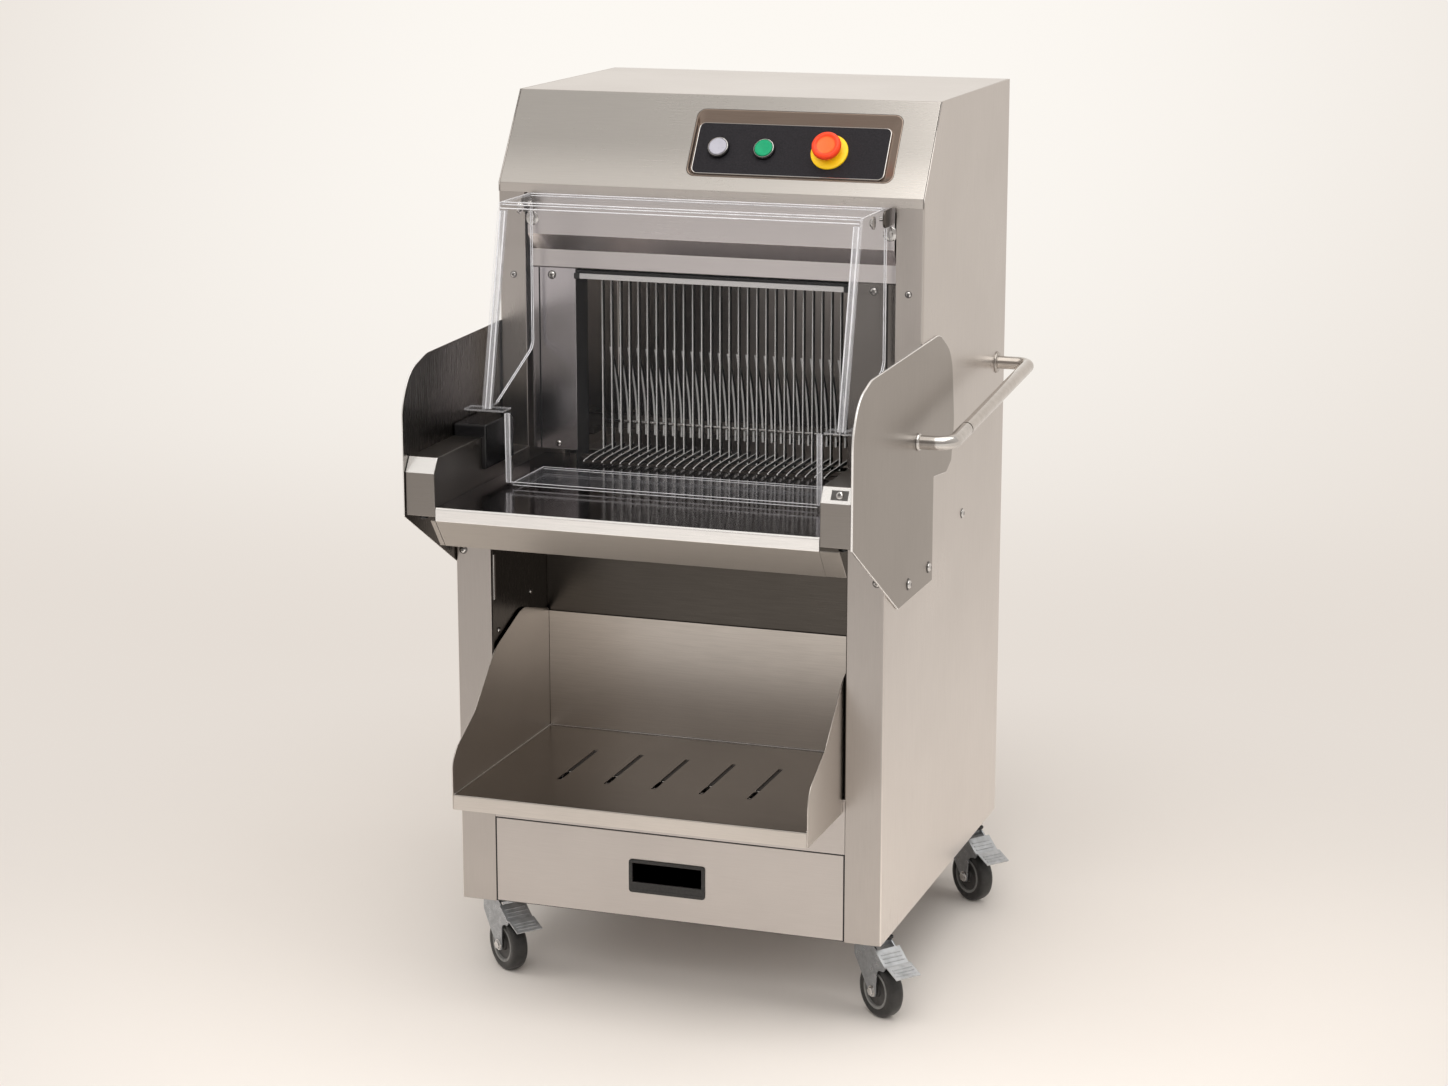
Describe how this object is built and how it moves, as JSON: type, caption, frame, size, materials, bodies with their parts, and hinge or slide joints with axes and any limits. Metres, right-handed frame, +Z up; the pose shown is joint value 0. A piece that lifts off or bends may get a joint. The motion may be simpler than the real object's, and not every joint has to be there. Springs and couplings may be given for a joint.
{
  "type": "commercial bread slicer",
  "caption": "Floor-standing bread slicer: reciprocating blades behind a swing-up clear guard, lever pusher, open shelf, crumb drawer and braked castors.",
  "frame": {"origin": "on the floor, under the middle of the machine's bounding box", "axes": "+Z up, +X to the right as the user faces the machine, +Y to its back"},
  "size_m": [0.6942, 0.813, 1.263],
  "materials": {
    "stainless": "satin, rolled edges brighter",
    "dark_steel": "dark satin",
    "blade_steel": "ground blades, satin frames",
    "zinc": "bright zinc plate",
    "black_plastic": "fine satin black",
    "control_plate": "dark charcoal, matt",
    "white_cap": "smooth",
    "green_cap": "smooth",
    "red_cap": "smooth",
    "yellow_collar": "smooth",
    "clear_plastic": "clear, polished edges",
    "motor_paint": "semi-gloss",
    "belt_rubber": "matt",
    "wheel_tyre": "satin, dark grey"
  },
  "bodies": {
    "cabinet": {"side_panel_left": "stainless", "side_panel_right": "stainless", "rear_panel": "stainless", "top_hood": "stainless", "lever_bush": "stainless", "header_panel": "stainless", "fascia_left": "stainless", "fascia_right": "stainless", "control_recess": "stainless", "front_rail": "stainless", "infeed_table": "stainless", "arm_left": "stainless", "arm_right": "stainless", "wing_left": "stainless", "wing_right": "stainless", "blade_guide_left": "stainless", "blade_guide_right": "stainless", "slice_rest": "stainless", "shelf_tray": "stainless", "drive_bridge": "stainless", "throat_frame": "dark_steel", "bay_liner": "dark_steel", "table_comb": "dark_steel", "base_frame": "dark_steel", "white_button_bezel": "black_plastic", "green_button_bezel": "black_plastic", "guard_block_left": "black_plastic", "guard_block_right": "black_plastic", "control_plate": "control_plate", "stop_collar": "yellow_collar", "drive_motor": "motor_paint", "drive_belt": "belt_rubber"},
    "guard": {"clear_guard": "clear_plastic"},
    "lever": {"lever_handle": "stainless", "lever_arm": "zinc"},
    "pusher": {"pusher_comb": "dark_steel"},
    "link": {"pusher_link": "zinc"},
    "front_blades": {"blade_frame_front": "blade_steel"},
    "rear_blades": {"blade_frame_rear": "blade_steel"},
    "left_rod": {"con_rod_left": "zinc"},
    "right_rod": {"con_rod_right": "zinc"},
    "crank": {"crankshaft": "zinc"},
    "motor_rotor": {"motor_pulley": "zinc"},
    "drawer": {"crumb_drawer": "stainless", "drawer_pull": "black_plastic"},
    "white_button": {"white_button_cap": "white_cap"},
    "green_button": {"green_button_cap": "green_cap"},
    "stop_button": {"stop_head": "red_cap"},
    "swivel_front_left": {"castor_fork_front_left": "zinc"},
    "wheel_front_left": {"castor_wheel_front_left": "wheel_tyre"},
    "pedal_front_left": {"brake_pedal_front_left": "zinc"},
    "swivel_front_right": {"castor_fork_front_right": "zinc"},
    "wheel_front_right": {"castor_wheel_front_right": "wheel_tyre"},
    "pedal_front_right": {"brake_pedal_front_right": "zinc"},
    "swivel_rear_left": {"castor_fork_rear_left": "zinc"},
    "wheel_rear_left": {"castor_wheel_rear_left": "wheel_tyre"},
    "pedal_rear_left": {"brake_pedal_rear_left": "zinc"},
    "swivel_rear_right": {"castor_fork_rear_right": "zinc"},
    "wheel_rear_right": {"castor_wheel_rear_right": "wheel_tyre"},
    "pedal_rear_right": {"brake_pedal_rear_right": "zinc"}
  },
  "joints": [
    {"name": "guard_hinge", "type": "hinge", "parent": "cabinet", "child": "guard", "pos_m": [-0.02885, -0.0845, 1.112], "axis": [-1, 0, 0], "range_deg": [0, 70]},
    {"name": "lever_pivot", "type": "hinge", "parent": "cabinet", "child": "lever", "pos_m": [0.31115, 0.3605, 0.842], "axis": [-1, 0, 0], "range_deg": [0, 60]},
    {"name": "pusher_slide", "type": "slide", "parent": "cabinet", "child": "pusher", "axis": [0, 1, 0], "range_m": [0, 0.116]},
    {"name": "link_pivot", "type": "hinge", "parent": "pusher", "child": "link", "pos_m": [0.25865, 0.0745, 0.79], "axis": [1, 0, 0], "range_deg": [0, 27]},
    {"name": "front_blade_slide", "type": "slide", "parent": "cabinet", "child": "front_blades", "axis": [0, 0, 1], "range_m": [-0.015, 0.015]},
    {"name": "rear_blade_slide", "type": "slide", "parent": "cabinet", "child": "rear_blades", "axis": [0, 0, 1], "range_m": [-0.015, 0.015]},
    {"name": "left_rod_pivot", "type": "hinge", "parent": "front_blades", "child": "left_rod", "pos_m": [-0.11935, 0.00675, 0.645], "axis": [1, 0, 0], "range_deg": [-4.5, 4.5]},
    {"name": "right_rod_pivot", "type": "hinge", "parent": "rear_blades", "child": "right_rod", "pos_m": [0.06165, 0.02625, 0.645], "axis": [1, 0, 0], "range_deg": [-4.5, 4.5]},
    {"name": "crank_spin", "type": "hinge", "parent": "cabinet", "child": "crank", "pos_m": [-0.02885, 0.0165, 0.42], "axis": [1, 0, 0], "continuous": true},
    {"name": "motor_spin", "type": "hinge", "parent": "cabinet", "child": "motor_rotor", "pos_m": [-0.02885, 0.2205, 0.375], "axis": [1, 0, 0], "continuous": true},
    {"name": "drawer_slide", "type": "slide", "parent": "cabinet", "child": "drawer", "axis": [0, -1, 0], "range_m": [0, 0.45]},
    {"name": "white_button_press", "type": "slide", "parent": "cabinet", "child": "white_button", "axis": [0, 0.8269, -0.5623], "range_m": [0, 0.003], "stiffness_N_per_m": 600},
    {"name": "green_button_press", "type": "slide", "parent": "cabinet", "child": "green_button", "axis": [0, 0.8269, -0.5623], "range_m": [0, 0.003], "stiffness_N_per_m": 600},
    {"name": "stop_button_press", "type": "slide", "parent": "cabinet", "child": "stop_button", "axis": [0, 0.8269, -0.5623], "range_m": [0, 0.005], "stiffness_N_per_m": 1200},
    {"name": "castor_swivel_front_left", "type": "hinge", "parent": "cabinet", "child": "swivel_front_left", "pos_m": [-0.31285, -0.1775, 0.11], "axis": [0, 0, 1], "continuous": true},
    {"name": "castor_roll_front_left", "type": "hinge", "parent": "swivel_front_left", "child": "wheel_front_left", "pos_m": [-0.29315, -0.19289, 0.04], "axis": [0.6157, 0.788, 0], "continuous": true},
    {"name": "brake_pedal_front_left", "type": "hinge", "parent": "swivel_front_left", "child": "pedal_front_left", "pos_m": [-0.28448, -0.19966, 0.102], "axis": [-0.6157, -0.788, 0], "range_deg": [0, 20]},
    {"name": "castor_swivel_front_right", "type": "hinge", "parent": "cabinet", "child": "swivel_front_right", "pos_m": [0.25515, -0.1775, 0.11], "axis": [0, 0, 1], "continuous": true},
    {"name": "castor_roll_front_right", "type": "hinge", "parent": "swivel_front_right", "child": "wheel_front_right", "pos_m": [0.27485, -0.19289, 0.04], "axis": [0.6157, 0.788, 0], "continuous": true},
    {"name": "brake_pedal_front_right", "type": "hinge", "parent": "swivel_front_right", "child": "pedal_front_right", "pos_m": [0.28352, -0.19966, 0.102], "axis": [-0.6157, -0.788, 0], "range_deg": [0, 20]},
    {"name": "castor_swivel_rear_left", "type": "hinge", "parent": "cabinet", "child": "swivel_rear_left", "pos_m": [-0.31285, 0.3315, 0.11], "axis": [0, 0, 1], "continuous": true},
    {"name": "castor_roll_rear_left", "type": "hinge", "parent": "swivel_rear_left", "child": "wheel_rear_left", "pos_m": [-0.29315, 0.31611, 0.04], "axis": [0.6157, 0.788, 0], "continuous": true},
    {"name": "brake_pedal_rear_left", "type": "hinge", "parent": "swivel_rear_left", "child": "pedal_rear_left", "pos_m": [-0.28448, 0.30934, 0.102], "axis": [-0.6157, -0.788, 0], "range_deg": [0, 20]},
    {"name": "castor_swivel_rear_right", "type": "hinge", "parent": "cabinet", "child": "swivel_rear_right", "pos_m": [0.25515, 0.3315, 0.11], "axis": [0, 0, 1], "continuous": true},
    {"name": "castor_roll_rear_right", "type": "hinge", "parent": "swivel_rear_right", "child": "wheel_rear_right", "pos_m": [0.27485, 0.31611, 0.04], "axis": [0.6157, 0.788, 0], "continuous": true},
    {"name": "brake_pedal_rear_right", "type": "hinge", "parent": "swivel_rear_right", "child": "pedal_rear_right", "pos_m": [0.28352, 0.30934, 0.102], "axis": [-0.6157, -0.788, 0], "range_deg": [0, 20]}
  ],
  "couplings": [
    {"joint": "pusher_slide", "follows": "lever_pivot", "m_per_rad": 0.10998},
    {"joint": "link_pivot", "follows": "lever_pivot", "ratio": 0.44321},
    {"joint": "rear_blade_slide", "follows": "front_blade_slide", "ratio": -1},
    {"joint": "motor_spin", "follows": "crank_spin", "ratio": 2.4444}
  ]
}
